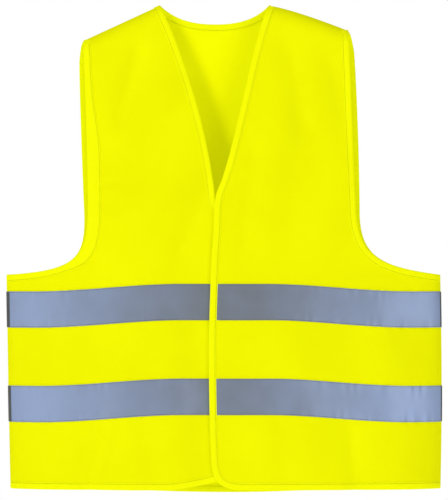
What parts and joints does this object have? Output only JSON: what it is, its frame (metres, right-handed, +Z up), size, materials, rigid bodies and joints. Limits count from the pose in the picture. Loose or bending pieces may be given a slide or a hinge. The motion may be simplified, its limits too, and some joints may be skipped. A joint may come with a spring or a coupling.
{
  "type": "high visibility vest",
  "caption": "Sleeveless fluorescent yellow vest with reflective tape round the body, bound edges and an overlapping hook and loop front.",
  "frame": {"origin": "midway between the two neck points in width and in depth, at the height of the neck points, where the wearer's shoulders or a hanger carry the vest", "axes": "+Z up, +X towards the wearer's left, front of the vest towards -Y"},
  "size_m": [0.6071, 0.1069, 0.6805],
  "materials": {
    "fluorescent_cloth": "matt fluorescent yellow knit",
    "binding_cloth": "fluorescent yellow woven binding",
    "reflective_tape": "silver glass bead tape",
    "hook_and_loop": "yellow hook and loop pile",
    "label_satin": "white satin, blank"
  },
  "bodies": {
    "torso": {"back_panel": "fluorescent_cloth", "left_front_side": "fluorescent_cloth", "right_front_side": "fluorescent_cloth", "left_shoulder_seam": "fluorescent_cloth", "right_shoulder_seam": "fluorescent_cloth", "left_side_seam": "fluorescent_cloth", "right_side_seam": "fluorescent_cloth", "back_neck_binding": "binding_cloth", "back_hem_binding": "binding_cloth", "left_front_hem_binding": "binding_cloth", "right_front_hem_binding": "binding_cloth", "left_front_armhole_binding": "binding_cloth", "left_back_armhole_binding": "binding_cloth", "right_front_armhole_binding": "binding_cloth", "right_back_armhole_binding": "binding_cloth", "left_upper_tape_side": "reflective_tape", "left_lower_tape_side": "reflective_tape", "right_upper_tape_side": "reflective_tape", "right_lower_tape_side": "reflective_tape", "back_upper_tape": "reflective_tape", "back_lower_tape": "reflective_tape"},
    "left_front": {"left_front_flap": "fluorescent_cloth", "left_front_binding": "binding_cloth", "left_upper_tape_flap": "reflective_tape", "left_lower_tape_flap": "reflective_tape", "hook_patch_upper": "hook_and_loop", "hook_patch_lower": "hook_and_loop"},
    "right_front": {"right_front_flap": "fluorescent_cloth", "right_front_binding": "binding_cloth", "right_upper_tape_flap": "reflective_tape", "right_lower_tape_flap": "reflective_tape", "loop_patch_upper": "hook_and_loop", "loop_patch_lower": "hook_and_loop"},
    "label": {"care_label": "label_satin"}
  },
  "joints": [
    {"name": "left_front_open", "type": "hinge", "parent": "torso", "child": "left_front", "pos_m": [0.14867, -0.05191, -0.6712], "axis": [-0.1291, 0.0483, 0.9905], "range_deg": [0, 150]},
    {"name": "right_front_open", "type": "hinge", "parent": "torso", "child": "right_front", "pos_m": [-0.14867, -0.05191, -0.6712], "axis": [-0.0843, -0.0496, -0.9952], "range_deg": [0, 90]},
    {"name": "care_label_swing", "type": "hinge", "parent": "torso", "child": "label", "pos_m": [0.28779, 0, -0.592], "axis": [0, 0, 1], "range_deg": [-20, 20]}
  ],
  "couplings": [
    {"joint": "right_front_open", "follows": "left_front_open", "ratio": 0.6}
  ]
}
